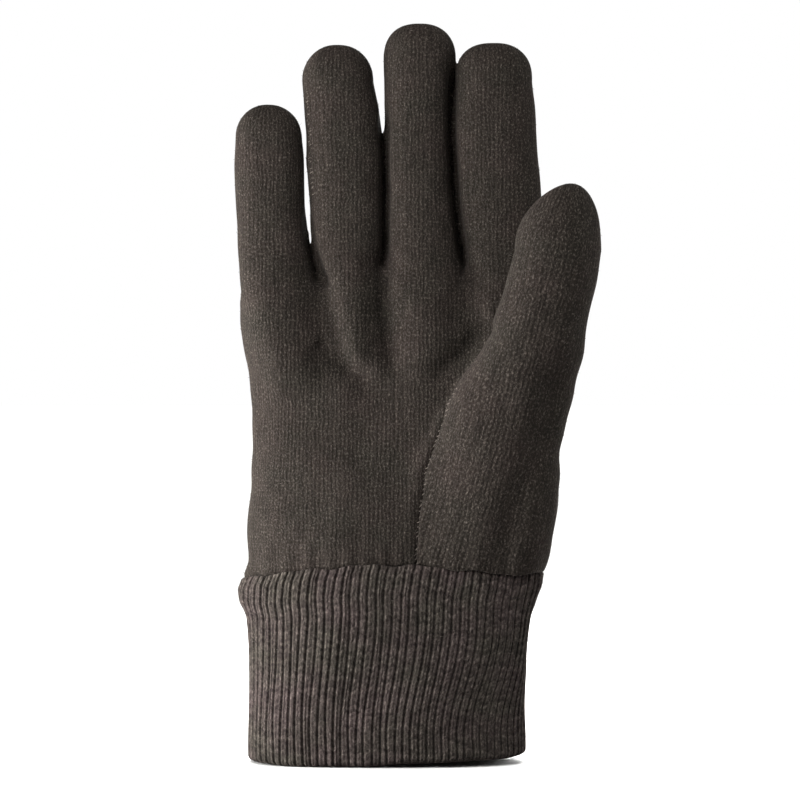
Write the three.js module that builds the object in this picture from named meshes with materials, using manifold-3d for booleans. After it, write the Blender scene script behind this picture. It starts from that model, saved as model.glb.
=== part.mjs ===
// Right-hand cotton jersey work glove with a knitted wrist, filled out as it is on a hand.
// Two jersey panels, front and back, meet along the sides of the hand and of every finger. A separate
// thumb piece is set into both, and a ribbed cuff, knitted double, is sewn to all three at the wrist.
//
// Millimetres. X runs across the palm towards the thumb, Z from the hem up to the fingertips, and the
// palm faces -Y. The origin is the middle of the wrist opening, in the plane of the hem.
import * as THREE from "three";
import { mergeVertices } from "three/addons/utils/BufferGeometryUtils.js";
import Module from "manifold-3d";

const wasm = await Module();
wasm.setup();

// Cloth
const jerseyWall = 1.8;
const seamGap = 0.4; // between two panels that are sewn together, measured across the hand
const cuffWall = 3.0; // two layers of rib knit, with the ribs

// Knitted cuff
const cuffLength = 64; // hem to wrist seam, at the sides
const cuffWidth = 93.4;
const cuffDepth = 45;
const cuffSquareness = 2.7; // 2 is an oval, more is boxier
const ribCount = 78;
const ribHeight = 0.9;
const ribDrift = 0.045; // share of the way round that the ribs lean towards the little finger

// Palm
const palmLength = 108.5; // wrist seam to the highest finger crotch
const palmWidth = 102;
const palmDepth = 37;
const palmSquareness = 2.4;
const palmHollow = 2.6; // dent in the middle of the palm
const crotchDrop = 12; // the outer crotches lie this far below the middle one, at most
const wristArch = 3.4; // rise of the wrist seam at the middle of the palm

// Fingers
const littleLength = 61.6; // root to fingertip
const ringLength = 76.2;
const middleLength = 83.5;
const indexLength = 79.9;
const littleDepth = 19.5;
const ringDepth = 20.5;
const middleDepth = 21.5;
const indexDepth = 21.5;
const fingerCurl = 12; // how far the fingertips bend forward
const fingerSquareness = 2.15;
const cushionLength = 40; // the padded foot of each finger that runs down into the palm

// The fingers from the little finger to the index finger. root is the height a finger starts at, as a
// share of the palm's length. Its rows give its middle and its width at the root, halfway and where the
// tip begins to round, as shares of the palm's width.
const fingers = [
  {
    length: littleLength, depth: littleDepth, root: 0.908, roundness: 2.0,
    rows: [
      { up: 0, across: -0.356, wide: 0.262 },
      { up: 0.5, across: -0.387, wide: 0.241 },
      { up: 1, across: -0.397, wide: 0.228 },
    ],
  },
  {
    length: ringLength, depth: ringDepth, root: 0.954, roundness: 2.1,
    rows: [
      { up: 0, across: -0.114, wide: 0.22 },
      { up: 0.5, across: -0.135, wide: 0.255 },
      { up: 1, across: -0.166, wide: 0.239 },
    ],
  },
  {
    length: middleLength, depth: middleDepth, root: 0.954, roundness: 2.3,
    rows: [
      { up: 0, across: 0.119, wide: 0.232 },
      { up: 0.5, across: 0.108, wide: 0.219 },
      { up: 1, across: 0.107, wide: 0.246 },
    ],
  },
  {
    length: indexLength, depth: indexDepth, root: 0.926, roundness: 2.4,
    rows: [
      { up: 0, across: 0.395, wide: 0.284 },
      { up: 0.5, across: 0.368, wide: 0.284 },
      { up: 1, across: 0.361, wide: 0.253 },
    ],
  },
];

// Thumb
const thumbLength = 131.6; // wrist seam to thumb tip, measured upright
const thumbWidth = 30;
const thumbDepth = 27;
const thumbForward = 31; // how far the thumb stands in front of the hand
const thumbSpread = 10.3; // how far the thumb tip stands out past the side of the palm
const thumbRoundness = 1.9;
const thumbTipDrift = 0.07; // how far the end leans outwards, as a share of the thumb's reach
const thumbReach = palmWidth / 2 + thumbSpread;

// Sections of the cuff from hem to wrist seam: height as a share of its length, how far it has gone over
// from its own width and depth to the palm's at the seam, and how far it swells past that at the left,
// at the right and in front and behind, as shares of its wall.
const cuffSections = [
  { up: 0.0, over: 0.0, left: -0.3, right: -0.4, deep: -0.3 },
  { up: 0.03, over: 0.0, left: 0.0, right: 0.05, deep: 0.0 },
  { up: 0.28, over: 0.0, left: 0.0, right: -0.05, deep: 0.0 },
  { up: 0.55, over: 0.0, left: 0.0, right: 0.0, deep: -0.05 },
  { up: 0.76, over: 0.25, left: 0.17, right: 0.05, deep: -0.05 },
  { up: 0.87, over: 0.7, left: 0.8, right: 0.0, deep: 0.1 },
  { up: 0.94, over: 0.9, left: 0.83, right: 0.17, deep: 0.13 },
  { up: 1.0, over: 1.0, left: 0.22, right: 0.17, deep: 0.0 },
];

// Sections of the palm from the wrist seam to the crotches: height as a share of its length, sides as
// shares of its width, and the fullness in front and behind as shares of its depth.
const palmSections = [
  { up: 0.0, left: 0.474, right: 0.517, front: 0.535, back: 0.5 },
  { up: 0.045, left: 0.458, right: 0.527, front: 0.545, back: 0.51 },
  { up: 0.155, left: 0.466, right: 0.537, front: 0.54, back: 0.51 },
  { up: 0.3, left: 0.453, right: 0.537, front: 0.505, back: 0.485 },
  { up: 0.45, left: 0.452, right: 0.535, front: 0.47, back: 0.455 },
  { up: 0.6, left: 0.462, right: 0.535, front: 0.44, back: 0.415 },
  { up: 0.74, left: 0.474, right: 0.532, front: 0.39, back: 0.355 },
  { up: 0.855, left: 0.484, right: 0.528, front: 0.32, back: 0.295 },
  { up: 0.93, left: 0.48, right: 0.522, front: 0.25, back: 0.23 },
  { up: 0.975, left: 0.465, right: 0.505, front: 0.15, back: 0.15 },
  { up: 1.0, left: 0.45, right: 0.49, front: 0.02, back: 0.02 },
];

// A finger's foot and body: height as a share of the foot below the root and of the body above it, width
// as a share of the finger's, and the fullness in front and behind as shares of its depth.
const fingerSections = [
  { up: -1.0, wide: 0.6, front: 0.45, back: 0.3 },
  { up: -0.7, wide: 0.88, front: 0.78, back: 0.48 },
  { up: -0.35, wide: 0.97, front: 0.78, back: 0.54 },
  { up: 0.0, wide: 1.0, front: 0.64, back: 0.54 },
  { up: 0.3, wide: 1.0, front: 0.51, back: 0.5 },
  { up: 0.65, wide: 1.0, front: 0.5, back: 0.5 },
  { up: 1.0, wide: 1.0, front: 0.48, back: 0.48 },
];

// The thumb with the ball of the thumb below it: height as a share of its length, its middle as a share
// of its reach, its width likewise, how far forward its middle stands, and the fullness in front and
// behind as shares of its depth.
const thumbSections = [
  { up: 0.0, across: 0.586, wide: 1.13, forward: 0.2, front: 0.43, back: 0.55 },
  { up: 0.09, across: 0.582, wide: 1.33, forward: 0.27, front: 0.51, back: 0.72 },
  { up: 0.2, across: 0.595, wide: 1.42, forward: 0.34, front: 0.53, back: 0.82 },
  { up: 0.31, across: 0.608, wide: 1.43, forward: 0.42, front: 0.535, back: 0.86 },
  { up: 0.407, across: 0.651, wide: 1.41, forward: 0.52, front: 0.53, back: 0.84 },
  { up: 0.505, across: 0.724, wide: 1.31, forward: 0.68, front: 0.52, back: 0.7 },
  { up: 0.564, across: 0.783, wide: 1.17, forward: 0.79, front: 0.51, back: 0.58 },
  { up: 0.63, across: 0.82, wide: 1.08, forward: 0.87, front: 0.5, back: 0.51 },
  { up: 0.726, across: 0.882, wide: 0.995, forward: 0.96, front: 0.485, back: 0.485 },
  { up: 0.829, across: 0.93, wide: 0.965, forward: 1.0, front: 0.465, back: 0.465 },
];

// The thumb seam. At each height, as a share of the thumb's length, it is cut along a level line. The
// line passes a point near the palm's surface, given as shares of the palm's width and depth, and turns
// off behind the thumb by an angle in degrees.
const thumbSeam = [
  { up: -0.3, across: 0.093, forward: 0.51, turn: 45 },
  { up: 0.04, across: 0.093, forward: 0.51, turn: 45 },
  { up: 0.144, across: 0.103, forward: 0.51, turn: 45 },
  { up: 0.253, across: 0.117, forward: 0.51, turn: 45 },
  { up: 0.342, across: 0.144, forward: 0.51, turn: 44 },
  { up: 0.41, across: 0.172, forward: 0.51, turn: 43 },
  { up: 0.452, across: 0.182, forward: 0.51, turn: 42 },
  { up: 0.486, across: 0.22, forward: 0.515, turn: 38 },
  { up: 0.52, across: 0.25, forward: 0.527, turn: 34 },
  { up: 0.565, across: 0.284, forward: 0.54, turn: 30 },
  { up: 0.62, across: 0.314, forward: 0.554, turn: 24 },
  { up: 0.68, across: 0.353, forward: 0.458, turn: 15 },
  { up: 0.8, across: 0.353, forward: 0.432, turn: 4 },
  { up: 1.02, across: 0.353, forward: 0.47, turn: 4 },
];

const fingerSides = 16;
const palmSides = 32;
const thumbSides = 20;
const cuffLiningSides = 32;
const seamSamples = 14;
const curlSteps = 8;
const tipRings = [0.3, 0.58, 0.8, 0.94]; // shares of a rounded end's height

const fingerRoot = (finger) => cuffLength + finger.root * palmLength;
const gloveTop = Math.max(...fingers.map((finger) => fingerRoot(finger) + finger.length));
const curlStart = cuffLength + 0.5 * palmLength;

// How far the middle of the hand stands forward at a height, as the fingers bend.
const curl = (z) => -fingerCurl * Math.max(0, (z - curlStart) / (gloveTop - curlStart)) ** 2;
const bent = (p) => p.setY(p.y + curl(p.z));

// The wrist seam's rise: highest at the middle of the palm, none at the sides.
const wristRise = (x) => wristArch * (Math.cos(Math.min(1, Math.abs(x) / (palmWidth / 2)) * Math.PI) + 1) / 2;

// A table's columns at any height between its rows, on smooth curves.
function along(table) {
  const names = Object.keys(table[0]).filter((name) => name !== "up");
  const values = table.flatMap((row) => names.map((name) => row[name]));
  const curve = new THREE.CubicInterpolant(table.map((row) => row.up), values, names.length);
  return (up) => {
    const found = Array.from(curve.evaluate(up));
    return Object.fromEntries(names.map((name, i) => [name, found[i]]));
  };
}

// A level ring: a rounded oval from left to right, reaching to the front and the back of a middle plane
// that may be shifted.
function ring({ z, left, right, front, back, shift = 0, squareness }, sides) {
  const middle = (left + right) / 2;
  const half = (right - left) / 2;
  const round = (v) => Math.sign(v) * Math.abs(v) ** (2 / squareness);
  return Array.from({ length: sides }, (_, i) => {
    const angle = (2 * Math.PI * i) / sides;
    const depth = Math.sin(angle) < 0 ? front : back;
    return new THREE.Vector3(middle + half * round(Math.cos(angle)), shift + depth * round(Math.sin(angle)), z);
  });
}

// Rings that draw in to the rounded end above a last section.
function roundedEnd(last, { height, roundness, drift = 0 }, sides) {
  return tipRings.map((share) => {
    const narrow = (1 - share ** roundness) ** (1 / roundness);
    const middle = (last.left + last.right) / 2 + drift * share ** 2;
    const half = ((last.right - last.left) / 2) * narrow;
    const section = {
      ...last,
      z: last.z + height * share,
      left: middle - half,
      right: middle + half,
      front: last.front * narrow,
      back: last.back * narrow,
    };
    return ring(section, sides);
  });
}

const middleOf = (points) =>
  points.reduce((sum, p) => sum.add(p), new THREE.Vector3()).divideScalar(points.length);

// A closed solid through a stack of rings, with its two ends drawn in to a point.
function loft(rings, bottom = middleOf(rings[0]), top = middleOf(rings.at(-1))) {
  const sides = rings[0].length;
  const points = [...rings.flat(), bottom, top];
  const faces = [];
  for (let row = 0; row + 1 < rings.length; row++) {
    for (let i = 0; i < sides; i++) {
      const a = row * sides + i;
      const b = row * sides + ((i + 1) % sides);
      faces.push(a, b, b + sides, a, b + sides, a + sides);
    }
  }
  const lastRing = (rings.length - 1) * sides;
  for (let i = 0; i < sides; i++) {
    const next = (i + 1) % sides;
    faces.push(points.length - 2, next, i);
    faces.push(points.length - 1, lastRing + i, lastRing + next);
  }
  const merged = mergeVertices(new THREE.BufferGeometry().setFromPoints(points).setIndex(faces), 1e-4);
  return new wasm.Manifold(
    new wasm.Mesh({
      numProp: 3,
      vertProperties: merged.attributes.position.array,
      triVerts: new Uint32Array(merged.index.array),
    }),
  );
}

// Of what a cut leaves, the largest body: a seam can shave off crumbs of cloth.
const largest = (made) => made.decompose().sort((a, b) => b.volume() - a.volume())[0];

const lowered = (points, by) => points.map((p) => p.clone().setZ(p.z - by));

// The cuff, outside or inside. Its ribs are dealt out evenly round each ring and lean as they go down.
function cuffForm(inset, sides, ribbed) {
  const seam = palmSections[0];
  const rings = cuffSections.map(({ up, over, left, right, deep }) => {
    const { lerp } = THREE.MathUtils;
    const section = {
      z: up * cuffLength,
      left: inset - lerp(cuffWidth / 2, seam.left * palmWidth, over) - left * cuffWall,
      right: lerp(cuffWidth / 2, seam.right * palmWidth, over) + right * cuffWall - inset,
      front: lerp(cuffDepth / 2, seam.front * palmDepth, over) + deep * cuffWall - inset,
      back: lerp(cuffDepth / 2, seam.back * palmDepth, over) + deep * cuffWall - inset,
      squareness: lerp(cuffSquareness, palmSquareness, over),
    };
    const outline = ring(section, palmSides);
    const path = new THREE.CatmullRomCurve3(outline, true);
    const drift = ribDrift * THREE.MathUtils.smoothstep(up, 0, 0.85);
    return Array.from({ length: sides }, (_, i) => {
      const share = (i / sides + drift) % 1;
      const point = path.getPointAt(share);
      if (ribbed && i % 2) {
        const heading = path.getTangentAt(share);
        point.x -= heading.y * ribHeight;
        point.y += heading.x * ribHeight;
      }
      point.z += wristRise(point.x) * up;
      return point;
    });
  });
  return ribbed ? loft(rings) : loft([lowered(rings[0], cuffWall), ...rings, lowered(rings.at(-1), -cuffWall)]);
}

// The palm, outside or inside, closed over at the crotches.
function palmForm(inset) {
  const rings = palmSections.map(({ up, left, right, front, back }) => {
    const fullness = (share) => Math.max(share * palmDepth - inset, share * inset);
    const section = {
      z: cuffLength + up * (palmLength - inset),
      left: -left * palmWidth + inset,
      right: right * palmWidth - inset,
      front: fullness(front),
      back: fullness(back),
      squareness: palmSquareness,
    };
    return ring(section, palmSides).map((p) => {
      const dent = Math.exp(-(((4 * p.x) / palmWidth) ** 2) - ((up - 0.5) * 3.6) ** 2);
      const drop = crotchDrop * (1 - Math.exp(-(((p.x - 0.03 * palmWidth) / (0.235 * palmWidth)) ** 2)));
      if (p.y < 0) p.y += palmHollow * dent * Math.min(1, (-2 * p.y) / (front * palmDepth));
      p.z += wristRise(p.x) * (1 - up) - drop * up ** 3;
      return bent(p);
    });
  });
  return loft(inset ? [lowered(rings[0], 2 * cuffWall), ...rings] : rings);
}

// A finger with its foot in the palm, outside or inside.
function fingerForm({ length, depth, roundness, ...finger }, inset) {
  const bodyAt = along(finger.rows);
  const root = fingerRoot(finger);
  const tipHeight = (finger.rows.at(-1).wide * palmWidth) / 2;
  const sections = fingerSections.map(({ up, wide, front, back }) => {
    const body = bodyAt(Math.max(0, up));
    const half = (body.wide * wide * palmWidth) / 2 - inset;
    return {
      z: root + up * (up < 0 ? cushionLength : length - tipHeight),
      left: body.across * palmWidth - half,
      right: body.across * palmWidth + half,
      front: front * depth - inset,
      back: back * depth - inset,
      squareness: fingerSquareness,
    };
  });
  const last = sections.at(-1);
  const end = roundedEnd(last, { height: tipHeight - inset, roundness }, fingerSides);
  const rings = [...sections.map((section) => ring(section, fingerSides)), ...end].map((r) => r.map(bent));
  const tip = new THREE.Vector3((last.left + last.right) / 2, 0, last.z + tipHeight - inset);
  return loft(rings, middleOf(rings[0]), bent(tip));
}

// The thumb and the ball of the thumb, outside or inside.
function thumbForm(inset) {
  const sections = thumbSections.map(({ up, across, wide, forward, front, back }) => ({
    z: cuffLength + up * thumbLength,
    left: across * thumbReach - (thumbWidth * wide) / 2 + inset,
    right: across * thumbReach + (thumbWidth * wide) / 2 - inset,
    front: front * thumbDepth - inset,
    back: back * thumbDepth - inset,
    shift: -forward * thumbForward,
    squareness: fingerSquareness,
  }));
  const last = sections.at(-1);
  const end = {
    height: cuffLength + thumbLength - last.z - inset,
    roundness: thumbRoundness,
    drift: thumbTipDrift * thumbReach,
  };
  const rings = [
    ...sections.map((section) => ring(section, thumbSides)),
    ...roundedEnd(last, end, thumbSides),
  ];
  for (const p of rings.flat()) p.z += wristRise(p.x) * Math.max(0, 1 - (p.z - cuffLength) / palmLength);
  const tip = new THREE.Vector3((last.left + last.right) / 2 + end.drift, last.shift, last.z + end.height);
  return loft(inset ? [lowered(rings[0], 2 * cuffWall), ...rings] : rings, undefined, tip);
}

const beyond = 1.5 * palmWidth; // well outside the glove on any side

// Everything on one side of a curved sheet. Each line of the sheet is given by its points, and the block
// lies off it to the left, in the direction named.
const blockBeside = (lines, direction) =>
  loft(lines.map((line) => [...line, line.at(-1).clone().add(direction), line[0].clone().add(direction)]));

// Everything on the thumb's side of the thumb seam, moved away from the thumb by a gap.
function thumbSide(gap) {
  const seamAt = along(thumbSeam);
  const heights = thumbSeam.flatMap((row, i) => (i ? [(row.up + thumbSeam[i - 1].up) / 2, row.up] : [row.up]));
  const away = new THREE.Vector3(1, -1, 0).normalize();
  const lines = heights.map((up) => {
    const { across, forward, turn } = seamAt(up);
    const heading = THREE.MathUtils.degToRad(turn);
    const start = new THREE.Vector3(across * palmWidth, -forward * palmDepth, cuffLength + up * thumbLength);
    return Array.from({ length: seamSamples }, (_, i) => {
      const reach = beyond * (0.7 - i / (seamSamples - 1));
      const along = new THREE.Vector3(reach * Math.cos(heading), reach * Math.sin(heading), 0);
      return start.clone().add(along).addScaledVector(away, -gap);
    });
  });
  return blockBeside(lines, away.multiplyScalar(2 * beyond));
}

// Everything in front of the side seams (side -1) or behind them (side 1).
function halfOf(side) {
  const step = (gloveTop - curlStart) / curlSteps;
  const heights = [0, ...Array.from({ length: curlSteps + 2 }, (_, i) => curlStart + i * step)];
  const lines = heights.map((z) =>
    [-side * beyond, side * beyond].map((x) => new THREE.Vector3(x, curl(z) + (side * seamGap) / 2, z)),
  );
  return blockBeside(lines, new THREE.Vector3(0, side * beyond, 0));
}

const form = (inset) =>
  fingers.reduce((hand, finger) => hand.add(fingerForm(finger, inset)), palmForm(inset)).add(thumbForm(inset));

const shell = form(0).subtract(form(jerseyWall));
const hand = shell.subtract(thumbSide(seamGap));
const cuff = cuffForm(0, 2 * ribCount, true).subtract(cuffForm(cuffWall, cuffLiningSides, false));

const jersey = new THREE.MeshStandardMaterial({ color: 0x3d3732, roughness: 0.97, metalness: 0 });
const ribKnit = new THREE.MeshStandardMaterial({ color: 0x413a35, roughness: 0.97, metalness: 0 });

function piece(name, made, material) {
  const mesh = made.getMesh();
  const geometry = new THREE.BufferGeometry()
    .setAttribute("position", new THREE.BufferAttribute(mesh.vertProperties, mesh.numProp))
    .setIndex(new THREE.BufferAttribute(mesh.triVerts, 1));
  geometry.computeVertexNormals();
  const found = new THREE.Mesh(geometry, material);
  found.name = name;
  return found;
}

const jerseyPieces = new THREE.Group();
jerseyPieces.position.z = seamGap;
jerseyPieces.add(
  piece("palm_panel", largest(hand.intersect(halfOf(-1))), jersey),
  piece("back_panel", largest(hand.intersect(halfOf(1))), jersey),
  piece("thumb_piece", largest(shell.intersect(thumbSide(0))), jersey),
);

const glove = new THREE.Group();
glove.name = "cotton_work_glove";
glove.add(jerseyPieces, piece("knit_cuff", cuff, ribKnit));

export default glove;
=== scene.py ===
import bpy
import numpy as np
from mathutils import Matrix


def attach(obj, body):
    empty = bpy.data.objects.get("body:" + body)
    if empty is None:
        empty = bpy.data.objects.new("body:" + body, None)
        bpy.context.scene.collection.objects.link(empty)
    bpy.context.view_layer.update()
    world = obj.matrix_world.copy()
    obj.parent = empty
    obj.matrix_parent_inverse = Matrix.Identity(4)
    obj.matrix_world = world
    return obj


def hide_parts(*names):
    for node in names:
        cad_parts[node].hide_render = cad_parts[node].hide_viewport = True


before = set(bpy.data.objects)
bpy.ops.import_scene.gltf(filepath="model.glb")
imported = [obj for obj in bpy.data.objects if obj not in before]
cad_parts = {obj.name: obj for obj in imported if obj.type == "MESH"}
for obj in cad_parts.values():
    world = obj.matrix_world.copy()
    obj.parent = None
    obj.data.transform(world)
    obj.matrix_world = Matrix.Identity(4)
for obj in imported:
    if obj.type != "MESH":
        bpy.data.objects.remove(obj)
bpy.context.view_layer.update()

# The view: the open palm seen straight on, as the photograph has it, from 1.1 m away. Millimetres are
# used all through, and turned into the scene's metres where something is placed in it.
mm = 0.001
view_distance, view_across, view_height = 1100, 4.45, 123.5
lens_length, sensor_width = 144.6, 36
camera = bpy.data.objects.new("camera", bpy.data.cameras.new("camera"))
bpy.context.scene.collection.objects.link(camera)
camera.location = (view_across * mm, -view_distance * mm, view_height * mm)
camera.rotation_euler = (np.pi / 2, 0, 0)
camera.data.lens = lens_length
camera.data.sensor_width = sensor_width
bpy.context.scene.camera = camera


# Palm panel: the front of the hand, cut in one piece from brushed cotton jersey and sewn inside out
# along the sides of the hand and of every finger, then turned. The whole hand's form is worked out
# here, because the back panel and the thumb piece are cut from the same form.
cuff_length = 64.0
palm_length = 108.5
palm_width = 102.0
palm_depth = 37.0
palm_squareness = 2.4
palm_hollow = 2.6
palm_cap, palm_cap_height = 0.93, 0.07  # where the palm starts to close between the fingers
crotch_drop, crotch_middle, crotch_spread = 12.0, 0.03 * palm_width, 0.235 * palm_width
wrist_arch = 3.4
jersey_wall = 1.8
finger_curl = 12.0
finger_squareness = 2.55
cushion_length = 40.0
cushion_end = 9.0
fingers = [  # little, ring, middle, index; rows: share of the height, middle and width in palm widths
    dict(length=61.6, depth=19.5, root=0.908, tip=2.0, lean=0.05, rows=[
        (0, -0.36, 0.266), (0.2, -0.3745, 0.252), (0.4, -0.3865, 0.236), (0.6, -0.3925, 0.233),
        (0.8, -0.395, 0.233), (1, -0.395, 0.225)]),
    dict(length=76.2, depth=20.5, root=0.954, tip=2.1, lean=0.07, rows=[
        (0, -0.1225, 0.24), (0.2, -0.129, 0.25), (0.4, -0.132, 0.256), (0.6, -0.136, 0.262),
        (0.8, -0.146, 0.254), (1, -0.163, 0.239)]),
    dict(length=83.5, depth=21.5, root=0.954, tip=2.3, lean=0.02, rows=[
        (0, 0.126, 0.278), (0.2, 0.116, 0.256), (0.4, 0.1095, 0.243), (0.6, 0.1045, 0.234),
        (0.8, 0.105, 0.23), (1, 0.109, 0.242)]),
    dict(length=79.9, depth=21.5, root=0.926, tip=2.4, lean=-0.03, rows=[
        (0, 0.4, 0.272), (0.2, 0.3845, 0.285), (0.4, 0.3705, 0.293), (0.6, 0.359, 0.293),
        (0.8, 0.352, 0.288), (1, 0.354, 0.261)]),
]
palm_sections = [  # share of the height; sides as shares of the width, front and back of the depth
    (0.0, 0.474, 0.49, 0.535, 0.5), (0.045, 0.458, 0.505, 0.545, 0.51),
    (0.155, 0.466, 0.53, 0.54, 0.51), (0.3, 0.453, 0.537, 0.505, 0.485),
    (0.45, 0.452, 0.535, 0.47, 0.455), (0.6, 0.462, 0.535, 0.44, 0.415),
    (0.74, 0.474, 0.532, 0.39, 0.355), (0.855, 0.484, 0.528, 0.32, 0.295),
    (0.93, 0.48, 0.522, 0.25, 0.23), (1.0, 0.475, 0.515, 0.22, 0.21),
]
finger_sections = [  # share of the foot (below 0) or of the body (above it); width, front and back
    (-1.0, 0.6, 0.45, 0.3), (-0.7, 0.88, 0.78, 0.48), (-0.35, 0.97, 0.78, 0.54),
    (0.0, 1.0, 0.64, 0.54), (0.3, 1.0, 0.51, 0.5), (0.65, 1.0, 0.5, 0.5), (1.0, 1.0, 0.48, 0.48),
]
thumb_length, thumb_width, thumb_depth, thumb_forward = 131.6, 30.0, 27.0, 31.0
thumb_squareness = 2.15
thumb_reach = palm_width / 2 + 10.3
thumb_end, thumb_end_lean, thumb_end_roundness = 0.829, 0.07, 1.9  # where its tip starts to round off
thumb_sections = [  # share of the height, middle, width, how far forward, front and back
    (0.0, 0.567, 1.08, 0.2, 0.43, 0.55), (0.09, 0.575, 1.3, 0.27, 0.51, 0.72),
    (0.2, 0.595, 1.42, 0.34, 0.53, 0.82), (0.31, 0.608, 1.43, 0.42, 0.535, 0.86),
    (0.407, 0.651, 1.41, 0.52, 0.53, 0.84), (0.505, 0.724, 1.31, 0.68, 0.52, 0.7),
    (0.564, 0.783, 1.17, 0.79, 0.51, 0.58), (0.63, 0.82, 1.08, 0.87, 0.5, 0.51),
    (0.726, 0.882, 0.995, 0.96, 0.485, 0.485), (thumb_end, 0.93, 0.965, 1.0, 0.465, 0.465),
]
thumb_seam = [  # share of the thumb's height, shares of the palm's width and depth, a turn in degrees
    (-0.3, 0.093, 0.51, 45), (0.04, 0.093, 0.51, 45), (0.144, 0.103, 0.51, 45), (0.253, 0.117, 0.51, 45),
    (0.342, 0.144, 0.51, 44), (0.41, 0.172, 0.51, 43), (0.452, 0.182, 0.51, 42), (0.486, 0.22, 0.515, 38),
    (0.52, 0.25, 0.527, 34), (0.565, 0.284, 0.54, 30), (0.62, 0.314, 0.554, 24), (0.68, 0.353, 0.458, 15),
    (0.8, 0.353, 0.432, 4), (1.02, 0.353, 0.47, 4),
]
middle_finger = fingers[2]
curl_start = cuff_length + 0.5 * palm_length
glove_top = cuff_length + middle_finger["root"] * palm_length + middle_finger["length"]


def curve_through(rows):
    """A table's columns at any height between its rows, on curves that don't overshoot them."""
    rows = np.array(rows, float)
    t, y = rows[:, 0], rows[:, 1:]
    step = np.diff(t)[:, None]
    slope = np.diff(y, axis=0) / step
    both = slope[:-1] + slope[1:]
    tangent = np.vstack([slope[:1], slope[:1], slope[1:]])[: len(t)]
    tangent[-1] = slope[-1]
    same = slope[:-1] * slope[1:] > 0
    tangent[1:-1] = np.where(same, 2 * slope[:-1] * slope[1:] / np.where(same, both, 1), 0)

    def at(x):
        x = np.clip(x, t[0], t[-1])
        i = np.clip(np.searchsorted(t, x, side="right") - 1, 0, len(t) - 2)
        s = ((x - t[i]) / (t[i + 1] - t[i]))[..., None]
        h = step[i]
        low = (1 + 2 * s) * (1 - s) ** 2 * y[i] + s * (1 - s) ** 2 * h * tangent[i]
        high = s * s * (3 - 2 * s) * y[i + 1] + s * s * (s - 1) * h * tangent[i + 1]
        return np.moveaxis(low + high, -1, 0)

    return at


def curl(z):
    """How far the middle of the hand stands forward at a height, as the fingers bend."""
    return -finger_curl * np.maximum(0, (z - curl_start) / (glove_top - curl_start)) ** 2


def wrist_rise(x):
    """The wrist seam's rise: highest at the middle of the palm."""
    return wrist_arch * (np.cos(np.minimum(1, np.abs(x) / (palm_width / 2)) * np.pi) + 1) / 2


def wrist_dip(x):
    """The wrist seam's uneven line, which drops at the little finger's side."""
    return 2.0 * smooth_step(-x, 36, 50) + 0.35 * np.sin(x / 3.1 + 1) + 0.25 * np.sin(x / 1.7)


def smooth_step(x, low, high):
    """0 up to low, 1 from high on, and a smooth rise between them."""
    s = np.clip((x - low) / (high - low), 0, 1)
    return s * s * (3 - 2 * s)


def smooth_min(a, b, soft):
    """The lower of two fields, rounded off where they are nearer to each other than soft."""
    return np.minimum(a, b) - np.maximum(soft - np.abs(a - b), 0) ** 2 / (4 * soft)


def smooth_max(a, b, soft):
    """The higher of two fields, rounded off in the same way."""
    return -smooth_min(-a, -b, soft)


def distance(form):
    """Turns a field that is 1 on a form's surface into millimetres outside it, as far as they matter."""
    steepness = np.sqrt(sum(g * g for g in np.gradient(form, cell)))
    return np.clip((form - 1) / np.maximum(steepness, 1e-3), -9, 14)


# the grid on which the form is worked out: a field on it is below zero inside the form
cell = 0.85
low_corner, high_corner = np.array([-56.0, -49.0, 56.0]), np.array([74.5, 25.0, 256.0])
counts = np.ceil((high_corner - low_corner) / cell).astype(int)
X, Y, Z = (low_corner[i] + cell * np.arange(counts[i], dtype=np.float32) for i in range(3))
X, Y, Z = X[:, None, None], Y[None, :, None], Z[None, None, :]
side = Y - curl(Z)  # how far behind the side seams, which run halfway through the bent hand

# the palm: its rows rise at the wrist and drop towards the outer crotches, so the share of the height
# that each point belongs to is found in a few steps
rise = wrist_rise(X)
drop = crotch_drop * (1 - np.exp(-(((X - crotch_middle) / crotch_spread) ** 2)))
up = (Z - cuff_length) / palm_length + 0 * X
for _ in range(8):
    held = np.clip(up, 0, 1)
    over = cuff_length + up * palm_length + rise * (1 - held) - drop * held**3 - Z
    up = up - over / (palm_length - (rise + 3 * drop * held**2) * (held == up))
left, right, front, back = curve_through(palm_sections)(up)
u = (X - (right - left) * palm_width / 2) / ((right + left) * palm_width / 2)
hollow = np.exp(-((4 * X / palm_width) ** 2) - ((up - 0.5) * 3.6) ** 2)  # 1 at the palm's middle
y = side - palm_hollow * hollow * np.clip(-2 * side / (front * palm_depth), 0, 1)
v = y / (np.where(y < 0, front, back) * palm_depth)
cap = np.maximum(0, (up - palm_cap) / palm_cap_height)
flat = (np.abs(u) ** palm_squareness + np.abs(v) ** palm_squareness) ** (1 / palm_squareness)
palm = distance(np.sqrt(flat**2 + cap**2))

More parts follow.
